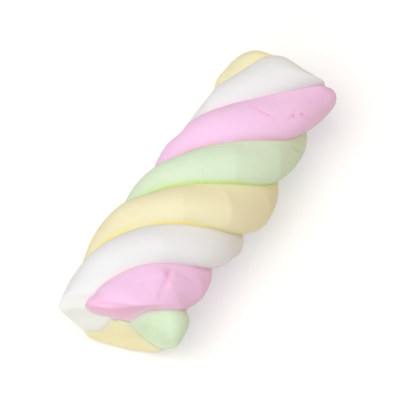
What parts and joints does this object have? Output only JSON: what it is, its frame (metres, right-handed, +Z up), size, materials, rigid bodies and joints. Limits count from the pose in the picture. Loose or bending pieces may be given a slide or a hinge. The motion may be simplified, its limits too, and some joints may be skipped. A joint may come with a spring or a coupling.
{
  "type": "twisted marshmallow",
  "caption": "Pastel marshmallow twist: pink, white, yellow and green strands of soft foam wound into a short rope with two chopped ends, lying on its side.",
  "frame": {"origin": "on the table plane z = 0, under the middle of the rope's bounding box", "axes": "+X along the rope, from the slanted near cut to the far cut; +Y across it; +Z up from the table"},
  "size_m": [0.066, 0.026, 0.024],
  "materials": {
    "foam_white": "matte",
    "foam_pink": "matte",
    "foam_green": "matte",
    "foam_yellow": "matte"
  },
  "bodies": {
    "root": {"strand_white": "foam_white", "strand_pink": "foam_pink", "strand_green": "foam_green", "strand_yellow": "foam_yellow"}
  },
  "joints": []
}
